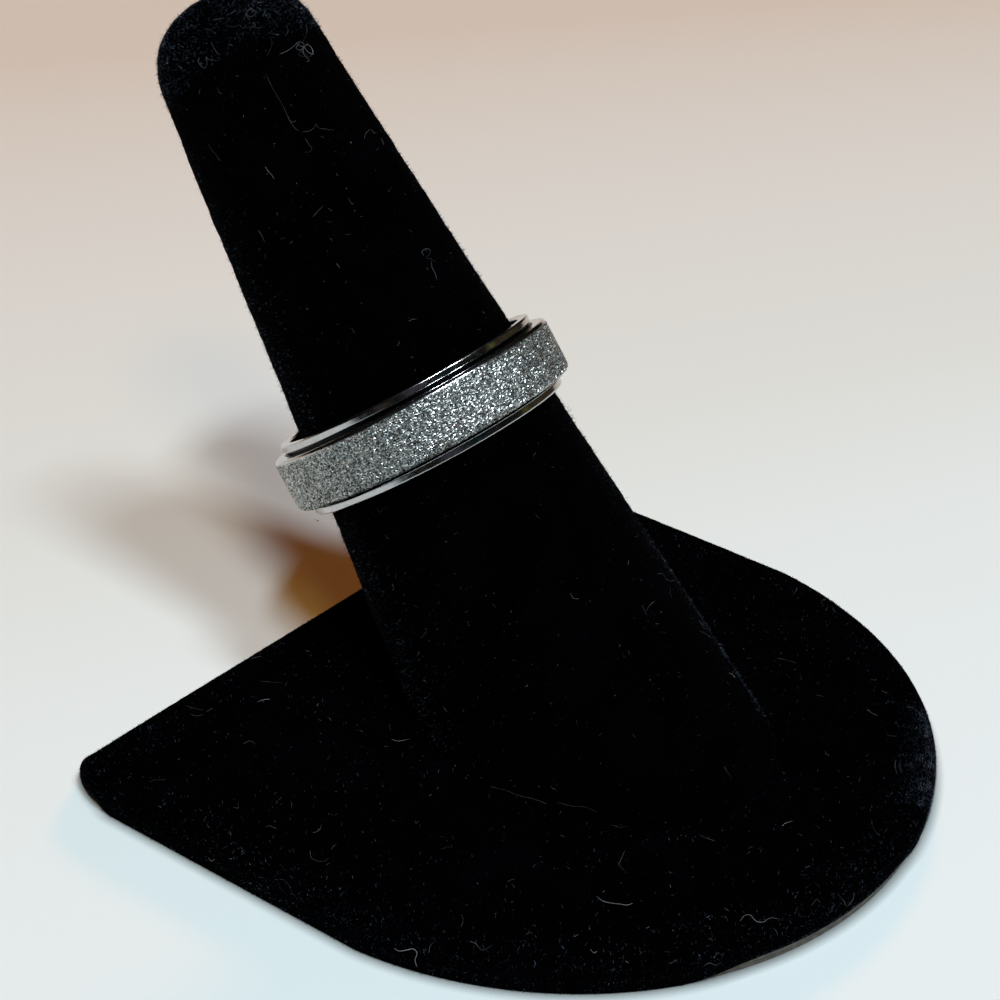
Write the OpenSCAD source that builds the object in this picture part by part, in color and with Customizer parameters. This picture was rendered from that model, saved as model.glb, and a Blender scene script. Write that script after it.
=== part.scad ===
// Spinner ring on a ring display stand. Millimetres.
// +Z is up and z = 0 is the underside of the stand's base. The base is straight
// behind (+Y) and round in front (-Y). The finger leans towards +Y and carries
// the ring. The origin is the foot of the base's symmetry line, on the underside.

/* [Ring] */
// Inside diameter of the ring
bore_d = 20.2; // [20.1:0.1:20.4]
// Overall width of the ring along its axis
ring_w = 6.0; // [5.6:0.1:7.0]
// Outside diameter of the two rims
rim_d = 21.9; // [21.7:0.1:22.2]
// Width of one rim along the axis
rim_w = 0.65; // [0.5:0.05:0.7]
// Wall of the sleeve under the outer band
sleeve_t = 0.38; // [0.30:0.02:0.40]
// Rounding of the rims' edges
rim_r = 0.16; // [0.10:0.02:0.20]

/* [Spinner band] */
// Outside diameter of the outer band
spin_d = 24.0; // [23.6:0.1:25.0]
// Clearance between the sleeve and the outer band, on the radius
spin_gap = 0.14; // [0.10:0.02:0.16]
// Clearance between each rim and the outer band, along the axis
side_gap = 0.20; // [0.10:0.05:0.30]
// Rounding of the outer band's outer edges
spin_r = 0.35; // [0.20:0.05:0.60]
// Rounding of the outer band's inner edges
spin_ri = 0.12; // [0.06:0.02:0.20]

/* [Ring on the finger] */
// Distance of the ring's centre from the finger's foot, along the finger
ring_up = 26.6; // [26.6:0.2:34]
// How far the ring hangs off the finger's axis, towards the finger's underside
ring_drop = 0.20; // [0.1:0.05:0.25]
// Tilt of the ring towards the front
ring_tilt_front = 3.4; // [0:0.1:3.4]
// Tilt of the ring to the side
ring_tilt_side = -4.4; // [-4.4:0.1:0]

/* [Stand finger] */
// Lean of the finger from upright
lean = 37; // [33:1:39]
// Radius of the finger where its axis meets the base
finger_r = 11.80; // [11.5:0.05:11.8]
// Radius lost for each millimetre along the finger
taper = 0.100; // [0.100:0.005:0.110]
// Length of the straight cone, from the foot to the rounded tip
cone_l = 57.5; // [50:0.5:62]
// Height of the rounded tip beyond the cone
tip_h = 4.1; // [3.5:0.1:6]
// Distance of the finger's foot behind the origin
foot_y = 1.6; // [0:0.1:3]

/* [Stand base] */
// Half width of the base at its straight back edge
back_w = 31.0; // [29:0.5:33]
// Half width of the base where the round front begins
front_w = 29.4; // [28:0.1:31]
// Distance from the origin back to the straight edge
back_y = 27.1; // [26:0.1:29]
// Distance from the origin forward to the front
front_y = 26.1; // [25:0.1:28]
// Distance from the origin forward to where the round front begins
shoulder_y = 1.2; // [0:0.1:3]
// Radius of the two back corners
corner_r = 4.2; // [2:0.1:6]
// Thickness of the covered board
board_t = 1.05; // [0.9:0.05:1.5]
// Thickness of the card backing
card_t = 0.50; // [0.4:0.05:0.6]
// Inset of the card from the covered board's edge
card_in = 0.15; // [0.05:0.05:0.3]
// Radius of the card's two back corners, which stand back from the board's
card_corner_r = 7.0; // [4.2:0.2:9]

/* [Hidden] */
gap = 0.05;                       // between pieces that rest on each other
axis_z = 1.5;                     // height of the point where the finger's axis meets the base
bore_r = bore_d / 2;
floor_r = bore_r + sleeve_t;      // bottom of the channel
half_w = ring_w / 2;
spin_half = half_w - rim_w - side_gap;
board_z = card_t + gap;
top_z = board_z + board_t;
cut = 12;                         // how far the cone is carried on below the base's top

// Profile of one band in the radius-axis plane: outer corners of radius ro, inner ones of radius ri.
module band_profile(r0, r1, h0, h1, ro, ri) {
  translate([r0 + ri, h0]) square([r1 - ro - r0 - ri, h1 - h0]);
  translate([r0, h0 + ri]) square([ri + 0.01, h1 - h0 - 2 * ri]);
  translate([r1 - ro - 0.01, h0 + ro]) square([ro + 0.01, h1 - h0 - 2 * ro]);
  for (h = [h0 + ro, h1 - ro]) translate([r1 - ro, h]) circle(r = ro, $fn = 48);
  for (h = [h0 + ri, h1 - ri]) translate([r0 + ri, h]) circle(r = ri, $fn = 48);
}

// Frame of the finger: its axis is +Z, its underside faces +Y.
module on_finger() {
  translate([0, foot_y, axis_z]) rotate([-lean, 0, 0]) children();
}

// Frame of the ring: its axis is +Z, its middle is z = 0.
module on_ring() {
  on_finger() translate([0, ring_drop, ring_up]) rotate([ring_tilt_front, ring_tilt_side, 0]) children();
}

// Outline of the base with back corners of radius r, drawn in by i on every side.
module base_outline(i, r = corner_r) {
  w1 = front_w - i;
  w2 = back_w - i;
  yb = back_y - i;
  yf = -shoulder_y;
  rise = front_y - i + yf;                          // from the front to the shoulder line
  arc_r = (rise * rise + w1 * w1) / (2 * rise);
  slope = atan((w2 - w1) / (yb - yf));
  rc = r - i;
  cy = yb - rc;
  cx = w1 + tan(slope) * (cy - yf) - rc / cos(slope);
  tx = cx + rc * cos(slope);
  ty = cy - rc * sin(slope);
  intersection() {
    translate([0, arc_r - front_y + i]) circle(r = arc_r, $fn = 180);
    translate([-w1 - 1, -front_y - 1]) square([2 * w1 + 2, front_y + 1 + yf]);
  }
  polygon([[-w1, yf - 0.01], [w1, yf - 0.01], [w1, yf], [tx, ty], [cx, cy], [cx, yb], [-cx, yb], [-cx, cy], [-tx, ty], [-w1, yf]]);
  for (s = [-1, 1]) translate([s * cx, cy]) circle(r = rc, $fn = 96);
}

// Half section of the finger: a straight cone, then a rounded tip.
function cone_r(l) = finger_r - taper * l;
function finger_section() = concat(
  [[0, -cut], [cone_r(-cut), -cut]],
  [for (i = [0:12]) let (a = 90 * i / 12) [cone_r(cone_l) * cos(a), cone_l + tip_h * sin(a)]]
);

module inner_band() {
  color("gainsboro") on_ring() rotate_extrude($fn = 180) {
    translate([bore_r, -half_w + rim_r]) square([sleeve_t, ring_w - 2 * rim_r]);
    for (s = [0, 1]) mirror([0, s]) band_profile(bore_r, rim_d / 2, half_w - rim_w, half_w, rim_r, rim_r);
  }
}

module spinner_band() {
  color("silver") on_ring() rotate_extrude($fn = 180)
    band_profile(floor_r + spin_gap, spin_d / 2, -spin_half, spin_half, spin_r, spin_ri);
}

module stand_finger() {
  color("#111318") intersection() {
    on_finger() rotate_extrude($fn = 96) polygon(finger_section());
    translate([-40, -40, top_z + gap]) cube([80, 100, 80]);
  }
}

module stand_base() {
  // Each row: height above the board's underside, inset of the outline there.
  edge = [[0, 0.25], [0.3, 0], [0.65, 0.05], [0.88, 0.2], [board_t, 0.6]];
  color("#0c0d12") translate([0, 0, board_z]) hull()
    for (e = edge) translate([0, 0, min(e[0], board_t - 0.02)]) linear_extrude(0.02) base_outline(e[1]);
}

module base_backing() {
  color("#6d6a64") linear_extrude(card_t) base_outline(card_in, card_corner_r);
}

inner_band();
spinner_band();
stand_finger();
stand_base();
base_backing();
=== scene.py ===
import math

import bpy
import numpy as np
from mathutils import Matrix, Vector


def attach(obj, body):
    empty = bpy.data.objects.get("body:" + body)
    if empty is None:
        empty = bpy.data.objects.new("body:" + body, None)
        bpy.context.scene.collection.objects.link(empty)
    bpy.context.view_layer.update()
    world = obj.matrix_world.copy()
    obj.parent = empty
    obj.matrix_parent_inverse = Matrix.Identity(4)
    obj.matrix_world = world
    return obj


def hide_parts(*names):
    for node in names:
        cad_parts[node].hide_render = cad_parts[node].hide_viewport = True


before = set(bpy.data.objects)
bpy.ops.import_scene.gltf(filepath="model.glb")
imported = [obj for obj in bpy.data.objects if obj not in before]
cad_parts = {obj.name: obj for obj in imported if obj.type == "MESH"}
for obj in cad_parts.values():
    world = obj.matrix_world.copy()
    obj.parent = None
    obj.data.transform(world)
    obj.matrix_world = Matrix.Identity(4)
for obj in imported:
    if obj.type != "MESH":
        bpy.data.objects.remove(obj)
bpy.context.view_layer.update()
scene = bpy.context.scene
MM = 0.001

# ---------------------------------------------------------------------------
# The object's own sizes, in millimetres, as in the CAD
# ---------------------------------------------------------------------------
BORE_R, SLEEVE_T, RIM_R, RIM_W, HALF_W, RIM_ROUND = 10.1, 0.38, 10.95, 0.65, 3.0, 0.16
SPIN_IN, SPIN_OUT, SPIN_HALF, SPIN_ROUND, SPIN_ROUND_IN = 10.62, 12.0, 2.15, 0.35, 0.12
LEAN, FOOT_Y, AXIS_Z = 37.0, 1.6, 1.5
FINGER_R, TAPER, CONE_L, TIP_H = 11.8, 0.1, 57.5, 4.1
TIP_FROM, TIP_N = 56.9, 2.6
RING_UP, RING_DROP, TILT_FRONT, TILT_SIDE = 26.6, 0.2, 3.4, -4.4
CARD_T, TOP_Z, BOARD_Z, BARE_Z = 0.5, 1.6, 0.55, 0.80
FRONT_W, BACK_W, BACK_Y, FRONT_Y, SHOULDER_Y = 29.4, 31.0, 27.1, 26.1, 1.2
CORNER_BACK, CORNER_SIDE = 2.4, 5.2  # the corner's reach along the back edge and along the side


def rot(axis, degrees):
    return np.array(Matrix.Rotation(math.radians(degrees), 4, axis))


def move(x, y, z):
    return np.array(Matrix.Translation((x, y, z)))


ON_FINGER = move(0, FOOT_Y, AXIS_Z) @ rot("X", -LEAN)
ON_RING = ON_FINGER @ move(0, RING_DROP, RING_UP) @ rot("Y", TILT_SIDE) @ rot("X", TILT_FRONT)


def place(m, p):
    """Points p, in millimetres, by the 4x4 matrix m."""
    p = np.asarray(p, float)
    return p @ m[:3, :3].T + m[:3, 3]


# ---------------------------------------------------------------------------
# Camera: the photo's own place, angle and framing
# ---------------------------------------------------------------------------
CAM = dict(az=0.6386, el=0.49938, dist=113.012, target=(-3.580, 7.174, 20.0), roll=0.02524, f=1520.78)


def camera_axes():
    a, e = CAM["az"], CAM["el"]
    fit = np.array([math.sin(a) * math.cos(e), -math.cos(a) * math.cos(e), math.sin(e)])
    back = np.array([fit[1], -fit[0], fit[2]])
    fwd = -back
    right = np.cross(fwd, (0, 0, 1))
    right /= np.linalg.norm(right)
    up = np.cross(right, fwd)
    c, s = math.cos(CAM["roll"]), math.sin(CAM["roll"])
    return right * c + up * s, -right * s + up * c, back


CAM_R, CAM_U, CAM_B = camera_axes()
CAM_POS = np.array(CAM["target"]) + CAM_B * CAM["dist"]


def make_camera():
    data = bpy.data.cameras.new("camera")
    data.sensor_width = 36.0
    data.lens = CAM["f"] * 36.0 / 1000.0
    data.clip_start, data.clip_end = 0.005, 20.0
    cam = bpy.data.objects.new("camera", data)
    scene.collection.objects.link(cam)
    m = Matrix.Identity(4)
    for i in range(3):
        m[i][0], m[i][1], m[i][2], m[i][3] = CAM_R[i], CAM_U[i], CAM_B[i], CAM_POS[i] * MM
    cam.matrix_world = m
    scene.camera = cam


make_camera()


def ray(px, py):
    """Direction of the ray through a place in the picture, 1000 wide."""
    d = CAM_R * (px - 500) / CAM["f"] - CAM_U * (py - 500) / CAM["f"] - CAM_B
    return d / np.linalg.norm(d)


# ---------------------------------------------------------------------------
# Small helpers
# ---------------------------------------------------------------------------
def link(ob):
    scene.collection.objects.link(ob)
    return ob


def mesh_object(name, points_mm, faces, materials=(), face_material=None, smooth=True):
    """An object from points in millimetres, in the row frame."""
    me = bpy.data.meshes.new(name)
    me.from_pydata((np.asarray(points_mm, float) * MM).tolist(), [], faces if isinstance(faces, list) else faces.tolist())
    for m in materials:
        me.materials.append(m)
    n = len(me.polygons)
    if face_material is not None:
        me.polygons.foreach_set("material_index", np.asarray(face_material, np.int32))
    flags = np.full(n, bool(smooth)) if np.isscalar(smooth) or isinstance(smooth, bool) else np.asarray(smooth, bool)
    me.polygons.foreach_set("use_smooth", flags)
    me.update()
    return link(bpy.data.objects.new(name, me))


def arc(cx, cy, r, a0, a1, n):
    t = np.radians(np.linspace(a0, a1, n))
    return np.column_stack([cx + r * np.cos(t), cy + r * np.sin(t)])


def smooth_step(x):
    x = np.clip(x, 0, 1)
    return x * x * (3 - 2 * x)


def lattice_noise(p, scale, seed):
    """Smooth 3-D value noise from -1 to 1 at points p, with cells of the given size."""
    rng = np.random.default_rng(seed)
    table = rng.uniform(-1, 1, 4096)
    q = np.asarray(p, float) / scale
    i = np.floor(q).astype(np.int64)
    f = q - i
    f = f * f * (3 - 2 * f)

    def corner(a, b, c):
        return table[((i[:, 0] + a) * 73856093 ^ (i[:, 1] + b) * 19349663 ^ (i[:, 2] + c) * 83492791) & 4095]

    out = 0
    for a in (0, 1):
        for b in (0, 1):
            for c in (0, 1):
                w = (f[:, 0] if a else 1 - f[:, 0]) * (f[:, 1] if b else 1 - f[:, 1]) * (f[:, 2] if c else 1 - f[:, 2])
                out = out + w * corner(a, b, c)
    return out


# ---------------------------------------------------------------------------
# Materials
# ---------------------------------------------------------------------------
def new_material(name):
    m = bpy.data.materials.new(name)
    m.use_nodes = True
    nt = m.node_tree
    nt.nodes.clear()
    out = nt.nodes.new("ShaderNodeOutputMaterial")
    bsdf = nt.nodes.new("ShaderNodeBsdfPrincipled")
    nt.links.new(bsdf.outputs["BSDF"], out.inputs["Surface"])
    return m, nt, bsdf


def node(nt, kind, **settings):
    n = nt.nodes.new(kind)
    for k, v in settings.items():
        if k.startswith("in_"):
            n.inputs[k[3:].replace("_", " ")].default_value = v
        else:
            setattr(n, k, v)
    return n


def ramp(nt, source, stops):
    r = nt.nodes.new("ShaderNodeValToRGB")
    e = r.color_ramp.elements
    while len(e) < len(stops):
        e.new(0.5)
    for i, (pos, col) in enumerate(stops):
        e[i].position = pos
        e[i].color = (col, col, col, 1) if np.isscalar(col) else (*col, 1)
    nt.links.new(source, r.inputs["Fac"])
    return r


def along_band(nt, co, k):
    """Object coordinates squeezed along the ring's axis, so that a noise runs in lines round the band."""
    axis = ON_RING[:3, 2]
    dot = node(nt, "ShaderNodeVectorMath", operation="DOT_PRODUCT")
    dot.inputs[1].default_value = axis
    nt.links.new(co, dot.inputs[0])
    scaled = node(nt, "ShaderNodeVectorMath", operation="SCALE")
    scaled.inputs[0].default_value = axis * k
    nt.links.new(dot.outputs["Value"], scaled.inputs["Scale"])
    total = node(nt, "ShaderNodeVectorMath", operation="ADD")
    nt.links.new(co, total.inputs[0])
    nt.links.new(scaled.outputs["Vector"], total.inputs[1])
    return total.outputs["Vector"]


def polished_steel():
    m, nt, b = new_material("polished_steel")
    b.inputs["Metallic"].default_value = 1.0
    co = node(nt, "ShaderNodeTexCoord").outputs["Object"]
    lines = node(nt, "ShaderNodeTexNoise", in_Scale=900.0, in_Detail=5.0, in_Roughness=0.7)
    nt.links.new(along_band(nt, co, 14.0), lines.inputs["Vector"])
    fine = node(nt, "ShaderNodeTexNoise", in_Scale=2400.0, in_Detail=4.0, in_Roughness=0.65)
    nt.links.new(co, fine.inputs["Vector"])
    both = node(nt, "ShaderNodeMath", operation="ADD")
    nt.links.new(lines.outputs["Fac"], both.inputs[0])
    nt.links.new(fine.outputs["Fac"], both.inputs[1])
    half = node(nt, "ShaderNodeMath", operation="MULTIPLY")
    half.inputs[1].default_value = 0.5
    nt.links.new(both.outputs["Value"], half.inputs[0])
    colour = ramp(nt, half.outputs["Value"], [(0.36, (0.42, 0.42, 0.425)), (0.50, (0.52, 0.52, 0.525)), (0.64, (0.60, 0.60, 0.60))])
    nt.links.new(colour.outputs["Color"], b.inputs["Base Color"])
    rough = ramp(nt, half.outputs["Value"], [(0.38, 0.09), (0.66, 0.24)])
    nt.links.new(rough.outputs["Color"], b.inputs["Roughness"])
    bump = node(nt, "ShaderNodeBump", in_Strength=0.10, in_Distance=0.000008)
    nt.links.new(half.outputs["Value"], bump.inputs["Height"])
    nt.links.new(bump.outputs["Normal"], b.inputs["Normal"])
    return m


def channel_steel_painted_shade():
    """The same steel inside the channel, unpolished, with shade painted in: near-black, as the dark recess between the
    bands.
    """
    m, nt, b = new_material("channel_steel_painted_shade")
    b.inputs["Metallic"].default_value = 1.0
    co = node(nt, "ShaderNodeTexCoord")
    fine = node(nt, "ShaderNodeTexNoise", in_Scale=1800.0, in_Detail=3.0, in_Roughness=0.6)
    nt.links.new(co.outputs["Object"], fine.inputs["Vector"])
    colour = ramp(nt, fine.outputs["Fac"], [(0.3, (0.010, 0.010, 0.010)), (0.7, (0.035, 0.035, 0.037))])
    nt.links.new(colour.outputs["Color"], b.inputs["Base Color"])
    rough = ramp(nt, fine.outputs["Fac"], [(0.3, 0.30), (0.7, 0.50)])
    nt.links.new(rough.outputs["Color"], b.inputs["Roughness"])
    return m


def glitter_steel():
    m, nt, b = new_material("glitter_steel")
    b.inputs["Metallic"].default_value = 1.0
    co = node(nt, "ShaderNodeTexCoord")
    grain = node(nt, "ShaderNodeTexVoronoi", in_Scale=9500.0, in_Randomness=1.0)
    nt.links.new(co.outputs["Object"], grain.inputs["Vector"])
    split = node(nt, "ShaderNodeSeparateColor")
    nt.links.new(grain.outputs["Color"], split.inputs["Color"])
    tone = ramp(nt, split.outputs["Red"], [(0.0, (0.092, 0.095, 0.092)), (0.3, (0.222, 0.231, 0.224)), (0.6, (0.455, 0.472, 0.458)), (1.0, (0.675, 0.69, 0.668))])
    nt.links.new(tone.outputs["Color"], b.inputs["Base Color"])
    speck = node(nt, "ShaderNodeTexNoise", in_Scale=3600.0, in_Detail=2.0)
    nt.links.new(co.outputs["Object"], speck.inputs["Vector"])
    rough = ramp(nt, speck.outputs["Fac"], [(0.35, 0.25), (0.7, 0.45)])
    nt.links.new(rough.outputs["Color"], b.inputs["Roughness"])
    return m


def velvet(name, dark, light, sheen=0.004):
    m, nt, b = new_material(name)
    b.inputs["Roughness"].default_value = 1.0
    b.inputs["Specular IOR Level"].default_value = 0.01
    b.inputs["Sheen Weight"].default_value = sheen
    b.inputs["Sheen Roughness"].default_value = 0.30
    b.inputs["Sheen Tint"].default_value = (0.35, 0.48, 0.80, 1.0)
    co = node(nt, "ShaderNodeTexCoord")
    pile = node(nt, "ShaderNodeTexNoise", in_Scale=5200.0, in_Detail=3.0, in_Roughness=0.7)
    nt.links.new(co.outputs["Object"], pile.inputs["Vector"])
    patch = node(nt, "ShaderNodeTexNoise", in_Scale=240.0, in_Detail=3.0, in_Roughness=0.6)
    nt.links.new(co.outputs["Object"], patch.inputs["Vector"])
    both = node(nt, "ShaderNodeMath", operation="MULTIPLY")
    nt.links.new(pile.outputs["Fac"], both.inputs[0])
    nt.links.new(patch.outputs["Fac"], both.inputs[1])
    colour = ramp(nt, both.outputs["Value"], [(0.20, dark), (0.45, light)])
    nt.links.new(colour.outputs["Color"], b.inputs["Base Color"])
    bump = node(nt, "ShaderNodeBump", in_Strength=0.8, in_Distance=0.0001)
    nt.links.new(pile.outputs["Fac"], bump.inputs["Height"])
    nt.links.new(bump.outputs["Normal"], b.inputs["Normal"])
    return m


def fibre_material(name, dark, light, scale=900.0, roughness=0.7, specular=0.2):
    m, nt, b = new_material(name)
    b.inputs["Roughness"].default_value = roughness
    b.inputs["Specular IOR Level"].default_value = specular
    co = node(nt, "ShaderNodeTexCoord")
    n = node(nt, "ShaderNodeTexNoise", in_Scale=scale, in_Detail=1.0)
    nt.links.new(co.outputs["Object"], n.inputs["Vector"])
    colour = ramp(nt, n.outputs["Fac"], [(0.42, dark), (0.68, light)])
    nt.links.new(colour.outputs["Color"], b.inputs["Base Color"])
    return m


def grey_card():
    m, nt, b = new_material("grey_card")
    b.inputs["Roughness"].default_value = 0.85
    co = node(nt, "ShaderNodeTexCoord")
    n = node(nt, "ShaderNodeTexNoise", in_Scale=1500.0, in_Detail=5.0, in_Roughness=0.65)
    nt.links.new(co.outputs["Object"], n.inputs["Vector"])
    colour = ramp(nt, n.outputs["Fac"], [(0.3, (0.050, 0.047, 0.040)), (0.7, (0.135, 0.127, 0.108))])
    nt.links.new(colour.outputs["Color"], b.inputs["Base Color"])
    bump = node(nt, "ShaderNodeBump", in_Strength=0.4, in_Distance=0.00005)
    nt.links.new(n.outputs["Fac"], bump.inputs["Height"])
    nt.links.new(bump.outputs["Normal"], b.inputs["Normal"])
    return m


MAT_STEEL = polished_steel()
MAT_GLITTER = glitter_steel()
MAT_CHANNEL_SHADE = channel_steel_painted_shade()
MAT_FINGER = velvet("finger_velvet", (0.0001, 0.0001, 0.0002), (0.0007, 0.0007, 0.0013))
MAT_BASE = velvet("base_velvet", (0.0001, 0.0001, 0.0002), (0.0006, 0.0006, 0.0014))
MAT_CARD = grey_card()
# the pile's fibres: deep black, and two lighter ones, blue and pale, that paint the nap's sheen where it catches the
# light
MAT_FUZZ = [
    fibre_material("velvet_pile_black", (0.0002, 0.0002, 0.0005), (0.0038, 0.0043, 0.0068), specular=0.01),
    fibre_material("velvet_pile_painted_sheen_blue", (0.012, 0.017, 0.029), (0.060, 0.080, 0.115), specular=0.05),
    fibre_material("velvet_pile_painted_sheen_pale", (0.045, 0.055, 0.078), (0.17, 0.20, 0.25), specular=0.10),
]
MAT_LINT = fibre_material("lint", (0.028, 0.031, 0.036), (0.130, 0.140, 0.152), scale=700.0, specular=0.1)
MAT_LINT_PALE = fibre_material("lint_pale", (0.09, 0.095, 0.103), (0.29, 0.30, 0.315), scale=700.0)


# ---------------------------------------------------------------------------
# The ring's two bands
# ---------------------------------------------------------------------------
def revolve(profile, turns):
    """Closed profile (r, h) turned about the ring's axis: points and quads."""
    n = len(profile)
    t = np.linspace(0, 2 * math.pi, turns, endpoint=False)
    pts = np.stack([np.outer(np.cos(t), profile[:, 0]), np.outer(np.sin(t), profile[:, 0]), np.tile(profile[:, 1], (turns, 1))], -1).reshape(-1, 3)
    i = np.arange(turns)[:, None] * n
    j = (np.arange(turns)[:, None] + 1) % turns * n
    k = np.arange(n)[None, :]
    k2 = (k + 1) % n
    quads = np.stack([i + k, j + k, j + k2, i + k2], -1).reshape(-1, 4)
    return pts, quads


def guarded(profile, reach=0.012):
    """Adds a point close to both ends of each long side, so that smooth shading stays flat on the flats."""
    out = []
    n = len(profile)
    for i in range(n):
        a, b = profile[i], profile[(i + 1) % n]
        out.append(a)
        d = np.linalg.norm(b - a)
        if d > 6 * reach:
            out.append(a + (b - a) * reach / d)
            out.append(b - (b - a) * reach / d)
    return np.array(out)


def make_inner_band():
    r = RIM_ROUND
    flo = BORE_R + SLEEVE_T
    up = [  # counter-clockwise in (r, h), from the bore's middle outwards and over the top
        arc(BORE_R + r, HALF_W - r, r, 180, 90, 9),
        arc(RIM_R - r, HALF_W - r, r, 90, 0, 9),
        arc(RIM_R - r, HALF_W - RIM_W + r, r, 0, -90, 9),
        [[flo, HALF_W - RIM_W]],
    ]
    upper = np.vstack(up)
    lower = upper[::-1] * np.array([1, -1])
    profile = guarded(np.vstack([upper, lower]))
    turns = 420
    pts, quads = revolve(profile, turns)
    nxt = np.roll(profile, -1, 0)
    # the channel's floor between the rims takes the near-black steel: painted shade
    limit = HALF_W - RIM_W + 0.002
    inner = (np.maximum(np.abs(profile[:, 1]), np.abs(nxt[:, 1])) < limit) & (np.minimum(profile[:, 0], nxt[:, 0]) > flo - 0.002)
    ob = mesh_object("inner_band_polished", place(ON_RING, pts), quads, [MAT_STEEL, MAT_CHANNEL_SHADE], np.tile(inner.astype(int), turns))
    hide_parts("inner_band")
    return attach(ob, "root")


def make_spinner(seed=11):
    rng = np.random.default_rng(seed)
    turns, step = 880, 0.086
    ro, ri = SPIN_ROUND, SPIN_ROUND_IN
    # the glittering outer surface, from the top edge over the side to the bottom edge
    flat_n = int(round((2 * SPIN_HALF - 2 * ro) / step))
    bright = 5
    top = arc(SPIN_OUT - ro, SPIN_HALF - ro, ro, 84, 0, 6)
    mid = np.column_stack([np.full(flat_n - 1, SPIN_OUT), np.linspace(SPIN_HALF - ro, -SPIN_HALF + ro, flat_n + 1)[1:-1]])
    bottom = arc(SPIN_OUT - ro, -SPIN_HALF + ro, ro, 0, -84, 5)
    outer = np.vstack([top, mid, bottom])
    # the polished sides and bore
    inner = np.vstack([
        arc(SPIN_IN + ri, -SPIN_HALF + ri, ri, -90, -180, 6),
        arc(SPIN_IN + ri, SPIN_HALF - ri, ri, 180, 90, 6),
    ])
    side = np.array([[SPIN_OUT - ro - 0.03, -SPIN_HALF], [RIM_R + 0.05, -SPIN_HALF]])
    profile = np.vstack([outer, side, inner, side[::-1] * np.array([1, -1])])
    n, no = len(profile), len(outer)
    t = np.linspace(0, 2 * math.pi, turns, endpoint=False)
    # every second row is shifted by half a step, and all are jittered
    shift = np.zeros((turns, n))
    shift[:, :no] = (np.arange(no) % 2)[None, :] * 0.5
    dt = 2 * math.pi / turns
    jitter_t = np.zeros((turns, n))
    jitter_t[:, 1:no - 1] = rng.uniform(-0.36, 0.36, (turns, no - 2))
    tt = t[:, None] + (shift + jitter_t) * dt
    tt[:, [0, no - 1]] = t[:, None]
    tangent = np.gradient(outer, axis=0)
    tangent /= np.linalg.norm(tangent, axis=1)[:, None]
    normal = np.column_stack([-tangent[:, 1], tangent[:, 0]])
    rr = np.tile(profile[:, 0], (turns, 1))
    hh = np.tile(profile[:, 1], (turns, 1))
    slide = np.zeros((turns, no))
    slide[:, 1:-1] = rng.uniform(-0.34, 0.34, (turns, no - 2)) * step
    lift = np.zeros((turns, no))
    lift[:, 1:-1] = np.clip(rng.normal(0, 0.023, (turns, no - 2)), -0.05, 0.040)
    held = np.clip(np.minimum(np.arange(no) - (bright - 1), np.arange(no)[::-1]) / 2.0, 0, 1)[None, :]
    lift *= held
    slide *= held
    tt[:, :bright] = t[:, None] + (np.arange(bright) % 2)[None, :] * 0.5 * dt
    rr[:, :no] += tangent[None, :, 0] * slide + normal[None, :, 0] * lift
    hh[:, :no] += tangent[None, :, 1] * slide + normal[None, :, 1] * lift
    pts = np.stack([np.cos(tt) * rr, np.sin(tt) * rr, hh], -1).reshape(-1, 3)
    i = np.arange(turns)[:, None] * n
    j = (np.arange(turns)[:, None] + 1) % turns * n
    k = np.arange(n)[None, :]
    k2 = (k + 1) % n
    a, b, c, d = i + k, j + k, j + k2, i + k2
    odd = np.broadcast_to(k % 2 == 1, a.shape)
    t1 = np.where(odd[..., None], np.stack([a, b, d], -1), np.stack([a, b, c], -1))
    t2 = np.where(odd[..., None], np.stack([b, c, d], -1), np.stack([a, c, d], -1))
    tris = np.concatenate([t1.reshape(-1, 3), t2.reshape(-1, 3)])
    kk = np.broadcast_to(k, a.shape).reshape(-1)
    grainy = (kk < no - 1) & (kk >= bright - 1)
    is_outer = np.concatenate([grainy, grainy])
    # the faces inside the channel, under the rims, take the near-black steel: painted shade
    hidden = (kk >= no + 1) & (kk < n - 2)
    finish = np.where(is_outer, 0, np.where(np.concatenate([hidden, hidden]), 2, 1))
    ob = mesh_object("spinner_band_glitter", place(ON_RING, pts), tris, [MAT_GLITTER, MAT_STEEL, MAT_CHANNEL_SHADE], finish, ~is_outer)
    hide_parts("spinner_band")
    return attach(ob, "spinner")


# ---------------------------------------------------------------------------
# The velvet finger
# ---------------------------------------------------------------------------
PILE = 0.45       # how far the standing pile's surface is above the pressed one
RING_INV = np.linalg.inv(ON_RING)


def pile_height(local):
    """Height of the pile's surface over the core, at points in the finger's frame: pressed by the ring's bore."""
    p = place(RING_INV, place(ON_FINGER, local))
    room = np.clip(BORE_R - 0.05 - np.hypot(p[:, 0], p[:, 1]), 0.02, PILE)
    free = smooth_step((np.abs(p[:, 2]) - HALF_W + 0.05) / 0.28)
    return room * (1 - free) + PILE * free


def finger_radius(l):
    """Core radius along the axis."""
    l = np.asarray(l, float)
    return FINGER_R - TAPER * l


def tip_radius(l):
    """Core radius over the rounded tip: a blunt dome."""
    u = np.clip((l - TIP_FROM) / (CONE_L + TIP_H - TIP_FROM), 0, 1)
    return finger_radius(l) * (1 - u ** TIP_N) ** (1 / TIP_N)


def finger_profile(n_cone, n_tip):
    """Radius, distance along the axis, and normal (radial, axial)."""
    l = np.linspace(-9.6, TIP_FROM, n_cone)
    end = CONE_L + TIP_H
    a = np.linspace(0, math.pi / 2, n_tip + 1)[1:]
    lt = TIP_FROM + (end - TIP_FROM) * np.sin(a) ** (2 / TIP_N)
    l = np.concatenate([l, lt])
    r = np.where(l > TIP_FROM, tip_radius(l), finger_radius(l))
    dr, dl = np.gradient(r), np.gradient(l)
    rows = np.column_stack([r, l, dl, -dr])
    rows[:, 2:] /= np.linalg.norm(rows[:, 2:], axis=1)[:, None]
    return rows


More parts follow.
